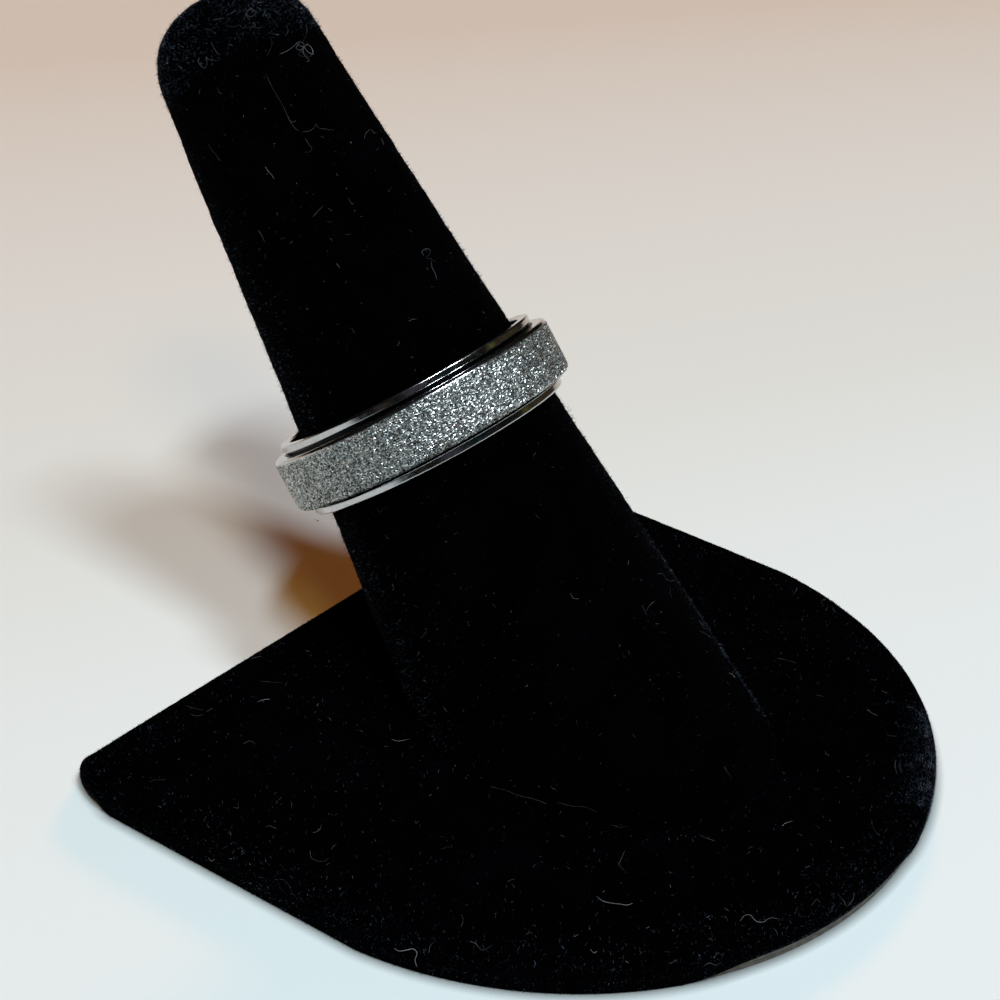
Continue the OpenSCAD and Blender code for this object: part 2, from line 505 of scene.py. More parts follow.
def lean_aside(l):
    """Sideways shift of the finger's rounded tip, which isn't quite true, in the finger's frame."""
    side = np.linalg.inv(ON_FINGER[:3, :3]) @ CAM_R
    side = np.array([side[0], side[1], 0.0]) / math.hypot(side[0], side[1])
    return np.outer(0.11 * smooth_step((np.asarray(l) - 50) / 9), side)


def floor_length(t):
    """Where each straight line of the cone, at angle t round the axis, meets the top of the base."""
    r0, a = FINGER_R + PILE, math.radians(LEAN)
    return (TOP_Z + 0.02 - AXIS_Z + np.sin(t) * r0 * math.sin(a)) / (math.cos(a) + TAPER * np.sin(t) * math.sin(a))


def make_finger():
    turns = 256
    t = np.linspace(0, 2 * math.pi, turns, endpoint=False)
    tip = finger_profile(2, 22)[1:-1]
    low, mid, high = np.linspace(0, 1, 64, endpoint=False), np.arange(21.6, 31.6, 0.1), np.linspace(31.6, TIP_FROM, 72, endpoint=False)
    start = floor_length(t)
    L = np.hstack([start[:, None] * (1 - low) + 21.6 * low, np.tile(mid, (turns, 1)), np.tile(high, (turns, 1)), np.tile(tip[:, 1], (turns, 1))])
    n = L.shape[1]
    k0 = n - len(tip)
    R = finger_radius(L)
    R[:, k0:] = tip[:, 0]
    slope = math.hypot(1, TAPER)
    nr, na = np.full(L.shape, 1 / slope), np.full(L.shape, TAPER / slope)
    nr[:, k0:], na[:, k0:] = tip[:, 2], tip[:, 3]
    T = np.tile(t[:, None], (1, n))
    core = np.stack([np.cos(T) * R, np.sin(T) * R, L], -1).reshape(-1, 3)
    nor = np.stack([np.cos(T) * nr, np.sin(T) * nr, na], -1).reshape(-1, 3)
    h = pile_height(core)
    h = h * (1 + 0.14 * lattice_noise(core, 0.5, 3) + 0.10 * lattice_noise(core, 7.0, 4))
    pts = place(ON_FINGER, core + nor * h[:, None] + lean_aside(core[:, 2]))
    # the lowest ring lies on the base's top
    axis = ON_FINGER[:3, 2]
    foot = np.arange(turns) * n
    pts[foot] += axis[None, :] * ((TOP_Z + 0.02 - pts[foot, 2]) / axis[2])[:, None]
    i = np.arange(turns)[:, None] * n
    j = (np.arange(turns)[:, None] + 1) % turns * n
    k = np.arange(n - 1)[None, :]
    quads = np.stack([i + k, j + k, j + k + 1, i + k + 1], -1).reshape(-1, 4)
    ends = np.array([place(ON_FINGER, [[0, 0, CONE_L + TIP_H + PILE]])[0], pts[foot].mean(0)])
    pts = np.vstack([pts, ends])
    v, w = len(pts) - 2, len(pts) - 1
    after = (np.arange(turns) + 1) % turns
    last = foot + n - 1
    caps = [[int(last[q]), int(last[after[q]]), v] for q in range(turns)]
    caps += [[int(foot[after[q]]), int(foot[q]), w] for q in range(turns)]
    ob = mesh_object("stand_finger_velvet", pts, quads.tolist() + caps, [MAT_FINGER])
    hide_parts("stand_finger")
    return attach(ob, "root")


# ---------------------------------------------------------------------------
# The base
# ---------------------------------------------------------------------------
def base_outline(inset, n_front=150, n_side=46, n_corner=14, n_back=84):
    """The base's outline, counter-clockwise from the right shoulder, drawn in by inset."""
    w1, w2, yb, yf = FRONT_W - inset, BACK_W - inset, BACK_Y - inset, -SHOULDER_Y
    rise = FRONT_Y - inset + yf
    ar = (rise * rise + w1 * w1) / (2 * rise)
    slope = math.atan((w2 - w1) / (yb - yf))
    rc = CORNER_SIDE - inset
    cy = yb - rc
    rx = CORNER_BACK - inset
    tx, ty = w1 + math.tan(slope) * (cy - yf), cy
    cx = tx - rx
    s = np.linspace(0, 1, n_side, endpoint=False)[:, None]
    right = np.array([[w1, yf]]) * (1 - s) + np.array([[tx, ty]]) * s
    corner = (arc(0, 0, 1, 0, 90, n_corner) * (rx, rc) + (cx, cy))[:-1]
    s = np.linspace(0, 1, n_back, endpoint=False)[:, None]
    back = np.array([[cx, yb]]) * (1 - s) + np.array([[-cx, yb]]) * s
    corner2 = (arc(0, 0, 1, 90, 180, n_corner) * (rx, rc) + (-cx, cy))[:-1]
    s = np.linspace(0, 1, n_side, endpoint=False)[:, None]
    left = np.array([[-tx, ty]]) * (1 - s) + np.array([[-w1, yf]]) * s
    yc = ar - FRONT_Y + inset
    half = math.degrees(math.atan2(w1, yc - yf))
    front = arc(0, yc, ar, -90 - half, -90 + half, n_front)[:-1]
    return np.vstack([right, corner, back, corner2, left, front])


def velvet_low(xy):
    """How far down the velvet reaches at a place on the edge: over the card, but for the front and one corner."""
    a = np.degrees(np.arctan2(xy[:, 1], xy[:, 0]))
    front = smooth_step((a + 134) / 13) * smooth_step((-82 - a) / 9)
    corner = smooth_step((a - 137.6) / 1.2) * smooth_step((144.4 - a) / 1.6)
    return 0.03 + np.maximum((BARE_Z - 0.03) * front, (BOARD_Z - 0.03) * corner)


def make_base():
    centre = np.array([0.0, FOOT_Y])
    edge = [(1.0, 0.55), (0.99, 0.40), (0.955, 0.26), (0.89, 0.13), (0.80, 0.03), (0.68, -0.03), (0.5, -0.05), (0.25, -0.05)]
    height = TOP_Z - BOARD_Z
    loops = []
    ref = base_outline(0.55)
    for f in np.linspace(0.03, 1, 112)[:-1]:
        loops.append(np.column_stack([centre + (ref - centre) * f, np.full(len(ref), TOP_Z)]))
    low = velvet_low(base_outline(0.0))
    for z, inset in edge:
        loops.append(np.column_stack([base_outline(inset), np.maximum(BOARD_Z + z * height, low + 0.20 + 0.05 * z)]))
    low = low + 0.018 * lattice_noise(np.column_stack([base_outline(0.0), low]), 0.45, 23) * (low > 0.1)
    for inset, z in [(-0.05, low + 0.16), (-0.04, low + 0.06), (-0.01, low + 0.015), (0.05, low), (0.10, np.minimum(low + 0.02, BOARD_Z + 0.02)), (0.11, np.full(len(ref), BOARD_Z + 0.02))]:
        loops.append(np.column_stack([base_outline(inset), z]))
    n = len(ref)
    pts = np.vstack(loops)
    top = pts[:, 2] > TOP_Z - 0.35
    wob = 0.035 * lattice_noise(pts, 0.55, 21) + 0.05 * lattice_noise(pts, 9.0, 22)
    pts[:, 2] += np.where(top, wob - 0.03, 0)
    m = len(loops)
    q = np.arange(n)
    faces = []
    for r in range(m - 1):
        a, b = r * n + q, r * n + (q + 1) % n
        c, d = (r + 1) * n + (q + 1) % n, (r + 1) * n + q
        faces.append(np.stack([a, d, c, b], -1))
    faces = np.concatenate(faces).tolist()
    pts = np.vstack([pts, [[0, FOOT_Y, TOP_Z]], [[0, FOOT_Y, BOARD_Z + 0.02]]])
    v, w = len(pts) - 2, len(pts) - 1
    faces += [[int(k), int((k + 1) % n), v] for k in range(n)]
    base_loop = (m - 1) * n
    faces += [[base_loop + int((k + 1) % n), base_loop + int(k), w] for k in range(n)]
    ob = mesh_object("stand_base_velvet", pts, faces, [MAT_BASE])
    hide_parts("stand_base")
    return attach(ob, "root")


def make_bare_edge():
    """The board's own grey edge, which shows in front where the velvet ends above the card."""
    outer, inner = base_outline(0.05), base_outline(0.40)
    a = np.degrees(np.arctan2(outer[:, 1], outer[:, 0]))
    k = np.nonzero((a > -138) & (a < -74))[0]
    rows = [np.column_stack([p[k], np.full(len(k), z)]) for p, z in ((outer, CARD_T + 0.005), (outer, BARE_Z + 0.04), (inner, BARE_Z + 0.04), (inner, CARD_T + 0.005))]
    n = len(k)
    faces = [[r * n + i, r * n + i + 1, (r + 1) % 4 * n + i + 1, (r + 1) % 4 * n + i] for r in range(4) for i in range(n - 1)]
    faces += [[0, n, 2 * n, 3 * n], [4 * n - 1, 3 * n - 1, 2 * n - 1, n - 1]]
    ob = mesh_object("bare_board_edge", np.vstack(rows), faces, [MAT_CARD], smooth=False)
    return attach(ob, "root")


# ---------------------------------------------------------------------------
# Pile fibres: slender closed spikes, joined in one mesh
# ---------------------------------------------------------------------------
def spikes(name, root, direction, length, width, materials, kind, seed):
    rng = np.random.default_rng(seed)
    n = len(root)
    d = direction / np.linalg.norm(direction, axis=1)[:, None]
    other = rng.normal(size=(n, 3))
    u = np.cross(d, other)
    u /= np.linalg.norm(u, axis=1)[:, None]
    v = np.cross(d, u)
    pts = np.zeros((n, 4, 3))
    for i in range(3):
        a = 2 * math.pi * i / 3
        pts[:, i] = root + (u * math.cos(a) + v * math.sin(a)) * (width[:, None] / 2)
    pts[:, 3] = root + d * length[:, None]
    base = np.arange(n)[:, None] * 4
    tri = np.array([[0, 1, 3], [1, 2, 3], [2, 0, 3], [0, 2, 1]])
    faces = (base[:, None, :] + tri[None, :, :]).reshape(-1, 3)
    ob = mesh_object(name, pts.reshape(-1, 3), faces, materials, np.repeat(kind, 4), smooth=False)
    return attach(ob, "root")


def painted_sheen_kind(rng, blue, pale):
    """Which fibre each spike is: 0 black, 1 blue, 2 pale, with the given chances; the blue and pale ones are painted
    sheen.
    """
    u = rng.uniform(0, 1, len(blue))
    return np.where(u < pale, 2, np.where(u < pale + blue, 1, 0)).astype(int)


def bump_at(x, centre, width):
    return np.exp(-((x - centre) / width) ** 2)


def turn_to(t, centre):
    """Angle from centre to t, from -pi to pi."""
    return (t - centre + math.pi) % (2 * math.pi) - math.pi


def finger_fuzz(count=48000, seed=5):
    rng = np.random.default_rng(seed)
    l = rng.uniform(-9, CONE_L + TIP_H, int(count * 1.5))
    keep = rng.uniform(0, 1, len(l)) < np.clip(finger_radius(l), 6, 13) / 13
    l = np.concatenate([l[keep][:count], rng.uniform(56.0, CONE_L + TIP_H, 8500)])
    t = rng.uniform(0, 2 * math.pi, len(l))
    s = np.clip((l - TIP_FROM) / (CONE_L + TIP_H - TIP_FROM), 0, 0.995)
    r = np.where(l > TIP_FROM, tip_radius(l), finger_radius(l))
    # outward direction: radial on the cone, turning along the axis over the tip
    na = np.where(l > TIP_FROM, 0.1 + 1.6 * s ** 1.6, TAPER)
    core = np.column_stack([np.cos(t) * r, np.sin(t) * r, l])
    nor = np.column_stack([np.cos(t), np.sin(t), na])
    nor /= np.linalg.norm(nor, axis=1)[:, None]
    h = pile_height(core)
    root = core + nor * (h * 0.78)[:, None] + lean_aside(l)
    d = nor + rng.normal(0, 0.6, (len(l), 3)) + np.array([0, 0, -0.15])
    d += nor * np.clip(0.30 - np.sum(d * nor, 1), 0, None)[:, None]
    length = h * rng.uniform(0.35, 0.85, len(l)) + 0.03
    length *= np.where(rng.uniform(0, 1, len(l)) < 0.03, 1.7, 1.0)
    world = place(ON_FINGER, root)
    in_ring = np.abs(place(RING_INV, world)[:, 2]) < HALF_W + 0.05
    free = (world[:, 2] > TOP_Z + 0.02) & ~(in_ring & (h < 0.9 * PILE))
    width = rng.uniform(0.03, 0.055, len(l))
    # painted sheen: lighter fibres along the side on the camera's left, over the tip and at the foot
    side = math.atan2(*(np.linalg.inv(ON_FINGER)[:3, :3] @ CAM_B)[[1, 0]])
    left, right = side - math.pi / 2, side + math.pi / 2
    if (ON_FINGER[:3, :3] @ np.array([math.cos(left), math.sin(left), 0])) @ CAM_R > 0:
        left, right = right, left
    patch = 0.5 + 0.5 * lattice_noise(core, 3.2, 51)
    sheen_along_left = 0.40 + 0.75 * smooth_step((46 - l) / 14)
    w = sheen_along_left * bump_at(turn_to(t, left), 0.30, 0.30)
    w += (0.34 + 0.55 * smooth_step((20 - l) / 4)) * bump_at(turn_to(t, right), 0.02, 0.20)
    w += 0.85 * smooth_step((l - 54.5) / 4) + 0.22 * bump_at(l, 11, 5) * bump_at(turn_to(t, left), 0.75, 0.5)
    w *= 0.30 + 1.1 * patch
    kind = painted_sheen_kind(rng, np.clip(0.06 + 1.25 * w, 0, 0.88), np.clip(0.001 + 0.10 * w + 0.35 * smooth_step((l - 55) / 4) * w, 0, 0.45))
    m = ON_FINGER[:3, :3]
    return spikes("finger_pile", world[free], (d @ m.T)[free], length[free], width[free], MAT_FUZZ, kind[free], seed + 1)


def inside_base(p, inset):
    """True for points within the base's outline drawn in by inset."""
    from_poly = base_outline(inset)
    x, y = p[:, 0], p[:, 1]
    hit = np.zeros(len(p), bool)
    a = from_poly
    b = np.roll(from_poly, -1, 0)
    for (x1, y1), (x2, y2) in zip(a, b):
        cross = (y1 > y) != (y2 > y)
        with np.errstate(divide="ignore", invalid="ignore"):
            xi = (x2 - x1) * (y - y1) / (y2 - y1) + x1
        hit ^= cross & (x < xi)
    return hit


def base_fuzz(count=48000, seed=8):
    rng = np.random.default_rng(seed)
    top_n, rim_n = int(count * 0.60), int(count * 0.40)
    p = rng.uniform((-32, -27), (32, 28), (int(top_n * 1.5), 2))
    p = p[inside_base(p, 0.5)][:top_n]
    root_t = np.column_stack([p, np.full(len(p), TOP_Z - 0.05)])
    dir_t = np.column_stack([rng.normal(0, 0.8, (len(p), 2)), np.full(len(p), 1.0)])
    # round the edge
    loop = base_outline(0.0)
    seg = np.linalg.norm(np.roll(loop, -1, 0) - loop, axis=1)
    at = rng.uniform(0, seg.sum(), rim_n)
    cum = np.concatenate([[0], np.cumsum(seg)])
    k = np.clip(np.searchsorted(cum, at) - 1, 0, len(loop) - 1)
    f = ((at - cum[k]) / seg[k])[:, None]
    a, b = loop[k], np.roll(loop, -1, 0)[k]
    q = a * (1 - f) + b * f
    out = np.column_stack([(b - a)[:, 1], -(b - a)[:, 0]])
    out /= np.linalg.norm(out, axis=1)[:, None]
    # more of it round the right end
    end_k = np.nonzero(np.abs(turn_to(np.arctan2(loop[:, 1] + 4, loop[:, 0]), -1.02)) < 0.30)[0]
    extra = 5200
    pick = rng.choice(end_k, extra)
    share = rng.uniform(0, 1, (extra, 1))
    q[:extra] = loop[pick] * (1 - share) + np.roll(loop, -1, 0)[pick] * share
    a, b = loop.copy(), np.roll(loop, -1, 0)
    k[:extra] = pick
    out = np.column_stack([(b - a)[k, 1], -(b - a)[k, 0]])
    out /= np.linalg.norm(out, axis=1)[:, None]
    e = rng.uniform(0, math.pi / 2, rim_n)
    inset = 0.5 * (1 - np.cos(e))
    z = BOARD_Z + 0.45 + (TOP_Z - BOARD_Z - 0.5) * np.sin(e)
    inset[:extra // 2] = 0.5 + rng.uniform(0, 1, extra // 2) ** 1.5 * 2.6
    z[:extra // 2] = TOP_Z - 0.05
    e[:extra // 2] = math.pi / 2
    low = rng.uniform(0, 1, rim_n) < 0.40
    low[:extra // 2] = False
    bottom = velvet_low(q)
    bottom = bottom + 0.05 + 0.20 * smooth_step((bottom - 0.3) / 0.2)
    z = np.where(low, bottom + rng.uniform(0, 1, rim_n) * (BOARD_Z + 0.5 - bottom), z)
    inset = np.where(low, 0.0, inset)
    e = np.where(low, 0.0, e)
    root_r = np.column_stack([q - out * inset[:, None], z])
    dir_r = np.column_stack([out * np.cos(e)[:, None], np.sin(e)]) + rng.normal(0, 0.5, (rim_n, 3))
    root = np.vstack([root_t, root_r])
    d = np.vstack([dir_t, dir_r])
    length = np.concatenate([rng.uniform(0.14, 0.34, len(p)), rng.uniform(0.08, 0.24, rim_n)])
    width = rng.uniform(0.03, 0.055, len(root))
    # painted sheen: lighter fibres along the edge, most of all round the right front
    inside = np.min([np.hypot(*(root[:, :2] - c).T) for c in loop[::4]], axis=0)
    angle = np.arctan2(root[:, 1] + 4, root[:, 0])
    patch = 0.5 + 0.5 * lattice_noise(root, 4.5, 52)
    w = 0.75 * bump_at(inside, 1.6, 2.0) * (0.25 + 0.75 * patch) * np.clip(0.25 + 0.75 * bump_at(turn_to(angle, -2.74), 0, 0.9), 0, 1)
    w += 2.2 * bump_at(inside, 0.5, 1.1) * bump_at(turn_to(angle, -1.02), 0, 0.20)
    w += 0.35 * bump_at(inside, 1.0, 2.0) * bump_at(turn_to(angle, -1.55), 0, 0.45) + 0.05 * patch
    kind = painted_sheen_kind(rng, np.clip(0.04 + 1.1 * w, 0, 0.88), np.clip(0.0008 + 0.08 * w + 0.35 * np.clip(w - 0.9, 0, 1), 0, 0.5))
    return spikes("base_pile", root, d, length, width, MAT_FUZZ, kind, seed + 1)


# Small tufts of pile that stick out past the outline: place in the picture, direction
# (right, up), spread and length in millimetres, how many.
TUFTS = [
    ((301.5, 433.5), (-1.0, -0.25), 0.16, 0.50, 90),
    ((303.0, 436.5), (-1.0, 0.10), 0.10, 0.34, 40),
    ((91.0, 763.5), (-0.9, 0.35), 0.14, 0.34, 70),
    ((568.0, 410.0), (0.9, 0.5), 0.20, 0.36, 5),
    ((571.0, 416.0), (1.0, 0.2), 0.18, 0.30, 4),
    ((318.5, 520.5), (-1.0, 0.0), 0.02, 0.50, 3),
]


def make_tufts(seed=77):
    rng = np.random.default_rng(seed)
    root, d, length = [], [], []
    for (x, y), (right, up), spread, size, count in TUFTS:
        o = on_surface(x, y, -0.12)
        root.append(o + rng.normal(0, spread / 2, (count, 3)))
        d.append(CAM_R * right + CAM_U * up + rng.normal(0, 0.28, (count, 3)))
        length.append(size * rng.uniform(0.55, 1.0, count))
    root, d, length = np.vstack(root), np.vstack(d), np.concatenate(length)
    root[:, 2] = np.maximum(root[:, 2], TOP_Z - 0.2)
    return spikes("pile_tufts", root, d, length, rng.uniform(0.03, 0.06, len(root)), MAT_FUZZ, np.zeros(len(root), int), seed + 1)


# ---------------------------------------------------------------------------
# Lint: pale loose fibres lying on the velvet
# ---------------------------------------------------------------------------
def tube(path, width, sides=4):
    """A closed thin tube along a path: points and faces."""
    p = np.asarray(path, float)
    n = len(p)
    t = np.gradient(p, axis=0)
    t /= np.linalg.norm(t, axis=1)[:, None] + 1e-12
    ref = np.array([0.31, 0.17, 0.93])
    u = np.cross(t, ref)
    u /= np.linalg.norm(u, axis=1)[:, None] + 1e-12
    v = np.cross(t, u)
    taper = np.clip(np.minimum(np.arange(n), np.arange(n)[::-1]) / 1.5, 0.35, 1.0)
    pts = []
    for i in range(sides):
        a = 2 * math.pi * i / sides
        pts.append(p + (u * math.cos(a) + v * math.sin(a)) * (width / 2 * taper)[:, None])
    pts = np.stack(pts, 1).reshape(-1, 3)
    faces = []
    for k in range(n - 1):
        for i in range(sides):
            a, b = k * sides + i, k * sides + (i + 1) % sides
            faces.append([a, b, b + sides, a + sides])
    faces.append(list(range(sides))[::-1])
    faces.append([(n - 1) * sides + i for i in range(sides)])
    return pts, faces


def on_surface(px, py, lift=0.05, reach=1.6):
    """The place on the finger's pile or the base's top that shows at a place in the picture, or just beside them, or None."""
    o, d = CAM_POS, ray(px, py)
    world = o + d * np.arange(55.0, 190.0, 0.02)[:, None]
    world = world[world[:, 2] > TOP_Z]
    p = place(np.linalg.inv(ON_FINGER), world)
    end = CONE_L + TIP_H + PILE + lift
    u = np.clip((p[:, 2] - TIP_FROM) / (end - TIP_FROM), 0, 1)
    off = np.hypot(p[:, 0], p[:, 1]) - (finger_radius(p[:, 2]) + PILE + lift) * (1 - u ** TIP_N) ** (1 / TIP_N)
    off = np.hypot(np.maximum(off, 0), np.maximum(p[:, 2] - end, 0))
    if off.min() <= 0:
        return world[np.argmax(off <= 0)]
    hit = o + d * ((TOP_Z + lift - o[2]) / d[2])
    if inside_base(hit[None], 0.0)[0]:
        return hit
    if off.min() < reach:
        return world[off.argmin()]
    return hit if inside_base(hit[None], -reach)[0] else None


def smooth_path(points, n):
    """A smooth curve through a few points."""
    p = np.asarray(points, float)
    p = np.vstack([2 * p[0] - p[1], p, 2 * p[-1] - p[-2]])
    out = []
    segs = len(p) - 3
    for u in np.linspace(0, segs - 1e-6, n):
        i = int(u)
        f = u - i
        a, b, c, d = p[i:i + 4]
        out.append(0.5 * ((2 * b) + (c - a) * f + (2 * a - 5 * b + 4 * c - d) * f ** 2 + (3 * b - a - 3 * c + d) * f ** 3))
    return np.array(out)


# Lint that stands out in the photo: width in millimetres, then places in the picture.
LINT = [
    # the long hair and its fork
    (0.026, [(266, 74), (273, 89), (283, 106), (289, 119), (294, 127), (300, 132)]),
    (0.022, [(289, 121), (292, 122), (296, 121)]),
    (0.026, [(302, 132), (309, 131), (314, 128), (316, 124), (319, 128), (326, 129), (334, 130)]),
    (0.020, [(305, 138), (308, 143), (312, 149), (309, 152), (304, 152)]),
    # the fluff on the tip
    (0.030, [(280, 54), (287, 51), (294, 46), (299, 42), (304, 44), (301, 50), (296, 48), (300, 43)]),
    (0.030, [(299, 46), (304, 47), (308, 52), (313, 54), (311, 47), (306, 45), (303, 53), (309, 60), (306, 62)]),
    (0.026, [(305, 57), (299, 55), (302, 51), (309, 57), (314, 50)]),
    (0.024, [(306, 24), (307, 31), (305, 38), (302, 42)]),
    (0.020, [(285, 36), (288, 32), (287, 27), (289, 22)]),
    (0.022, [(268, 33), (273, 34), (280, 35)]),
    (0.024, [(270, 36), (272, 43), (270, 50), (267, 56)]),
    (0.022, [(267, 12), (272, 19), (278, 27)]),
    (0.020, [(246, 14), (250, 9), (256, 12), (251, 17), (246, 14), (249, 20)]),
    (0.022, [(211, 42), (214, 48), (218, 54), (221, 54)]),
    (0.022, [(200, 57), (198, 61), (201, 66), (205, 68), (207, 63), (206, 57), (210, 60), (221, 60)]),
    (0.024, [(229, 26), (234, 27), (239, 25), (243, 28), (249, 27), (256, 28), (263, 27)]),
    (0.022, [(236, 32), (239, 38), (242, 39)]),
    (0.024, [(214, 20), (219, 19), (224, 18)]),
    (0.024, [(206, 28), (210, 30), (214, 27)]),
    # single strokes on the finger
    (0.026, [(186, 82), (189, 85), (188, 87)]),
    (0.026, [(200, 89), (199, 94)]),
    (0.026, [(217, 87), (219, 92), (222, 94)]),
    (0.022, [(208, 143), (211, 149), (216, 155), (220, 161)]),
    (0.030, [(265, 166), (268, 171), (271, 174), (274, 179)]),
    (0.024, [(266, 175), (269, 172)]),
    (0.022, [(313, 217), (317, 212), (323, 206)]),
    (0.022, [(328, 208), (332, 211)]),
    (0.020, [(348, 197), (351, 203), (354, 204)]),
    (0.024, [(336, 173), (338, 176)]),
    (0.030, [(350, 142), (352, 143)]),
    (0.030, [(375, 170), (376, 171)]),
    (0.032, [(346, 188), (347, 189)]),
    (0.030, [(296, 183), (297, 184)]),
    (0.028, [(334, 163), (335, 164)]),
    (0.026, [(266, 108), (264, 109)]),
    (0.026, [(257, 57), (258, 58)]),
    (0.024, [(242, 61), (243, 62)]),
    (0.022, [(364, 139), (366, 133), (371, 129)]),
    (0.022, [(381, 138), (384, 145)]),
    # the loop
    (0.026, [(424, 256), (422, 252), (425, 249), (430, 250), (429, 255), (426, 258), (431, 259), (436, 262)]),
    (0.024, [(431, 259), (432, 267), (435, 273), (437, 280)]),
    (0.022, [(336, 263), (340, 268)]),
    (0.022, [(258, 230), (262, 236), (265, 243)]),
    (0.022, [(289, 244), (293, 241)]),
    (0.022, [(280, 239), (285, 238)]),
    # along the finger's foot and its edge against the base
    (0.028, [(640, 522), (645, 526), (651, 535)]),
    (0.022, [(671, 587), (670, 593), (672, 598)]),
    (0.024, [(646, 611), (650, 605), (656, 600)]),
    (0.024, [(642, 605), (647, 616)]),
    (0.024, [(657, 574), (663, 574), (668, 581), (676, 580)]),
    (0.030, [(629, 560), (628, 565)]),
    (0.024, [(570, 592), (573, 598), (579, 599)]),
    (0.026, [(700, 631), (706, 634), (711, 638)]),
    (0.034, [(729, 673), (733, 675), (735, 678)]),
    (0.018, [(491, 787), (505, 790), (520, 796), (534, 799), (547, 804)]),
    (0.018, [(556, 802), (572, 806), (585, 807), (597, 812)]),
    # on the base
    (0.026, [(777, 658), (786, 660), (796, 663)]),
    (0.026, [(793, 595), (796, 591), (797, 587)]),
    (0.028, [(866, 708), (872, 713), (878, 716)]),
    (0.026, [(907, 707), (913, 708), (918, 711), (921, 716), (926, 720)]),
    (0.022, [(896, 759), (895, 766), (897, 774)]),
    (0.022, [(900, 759), (900, 767), (902, 773)]),
    (0.030, [(782, 826), (786, 823), (793, 821)]),
    (0.028, [(798, 833), (802, 836)]),
    (0.026, [(872, 824), (875, 831), (880, 836)]),
    (0.026, [(618, 866), (622, 857), (625, 850)]),
    (0.030, [(596, 896), (603, 901), (611, 903), (619, 904), (627, 905), (633, 903)]),
    (0.030, [(740, 921), (744, 916), (750, 915), (756, 921), (763, 922), (770, 918), (779, 919)]),
    (0.026, [(724, 908), (729, 911)]),
    (0.026, [(720, 917), (726, 917), (728, 921)]),
    (0.024, [(837, 893), (843, 900), (847, 907)]),
    (0.024, [(848, 906), (853, 899), (854, 892)]),
    (0.024, [(814, 882), (820, 887)]),
    (0.022, [(811, 906), (817, 899), (820, 903)]),
    (0.028, [(773, 928), (776, 931), (778, 936)]),
    (0.034, [(672, 930), (674, 931)]),
    (0.030, [(676, 947), (677, 948)]),
    (0.030, [(590, 949), (594, 953), (597, 951)]),
    (0.030, [(625, 961), (629, 963)]),
    (0.026, [(703, 967), (709, 963), (716, 965), (722, 962)]),
    (0.022, [(708, 938), (713, 941)]),
    (0.024, [(698, 834), (706, 838), (715, 841)]),
    (0.024, [(758, 849), (761, 847)]),
    (0.024, [(724, 766), (728, 773), (732, 778)]),
    (0.026, [(599, 736), (602, 733)]),
    (0.024, [(633, 734), (635, 738)]),
    (0.028, [(556, 784), (557, 786)]),
    (0.026, [(600, 763), (601, 764)]),
    (0.026, [(567, 867), (570, 869)]),
    (0.034, [(394, 948), (399, 951), (407, 950), (413, 949), (417, 953), (415, 960), (417, 967)]),
    (0.024, [(429, 953), (430, 946), (434, 942)]),
    (0.024, [(461, 914), (463, 920), (461, 927)]),
    (0.030, [(391, 739), (398, 741), (410, 739)]),
    (0.024, [(384, 747), (388, 746)]),
    (0.026, [(251, 659), (257, 657), (263, 656)]),
    (0.030, [(257, 702), (263, 700), (270, 699)]),
    (0.022, [(260, 681), (270, 682), (283, 683)]),
    (0.024, [(185, 705), (193, 708), (203, 710)]),
    (0.022, [(190, 714), (197, 716), (204, 714)]),
    (0.022, [(206, 712), (213, 708)]),
    (0.028, [(305, 650), (311, 652)]),
    (0.026, [(149, 782), (155, 780), (161, 780), (166, 779)]),
    (0.028, [(233, 807), (238, 808), (238, 802)]),
    (0.028, [(199, 809), (202, 811)]),
    (0.026, [(310, 850), (311, 857), (317, 861), (324, 861), (329, 858)]),
    (0.024, [(313, 833), (319, 830), (322, 824)]),
    (0.026, [(279, 879), (284, 880), (288, 884), (291, 889)]),
    (0.028, [(267, 886), (269, 889)]),
    (0.028, [(208, 857), (211, 861), (215, 859)]),
    (0.028, [(230, 831), (231, 835)]),
    (0.026, [(265, 827), (270, 826), (277, 829)]),
    (0.022, [(243, 744), (250, 741), (256, 744)]),
    (0.026, [(469, 941), (476, 944), (481, 950), (488, 948), (493, 944)]),
    (0.024, [(482, 944), (485, 949), (489, 952)]),
    (0.024, [(517, 952), (520, 946)]),
    (0.026, [(507, 882), (511, 880), (515, 879)]),
    (0.024, [(504, 898), (506, 902)]),
    (0.028, [(473, 764), (474, 765)]),
    (0.026, [(458, 861), (459, 863)]),
    (0.026, [(427, 862), (428, 864)]),
    (0.026, [(531, 664), (532, 665)]),
]


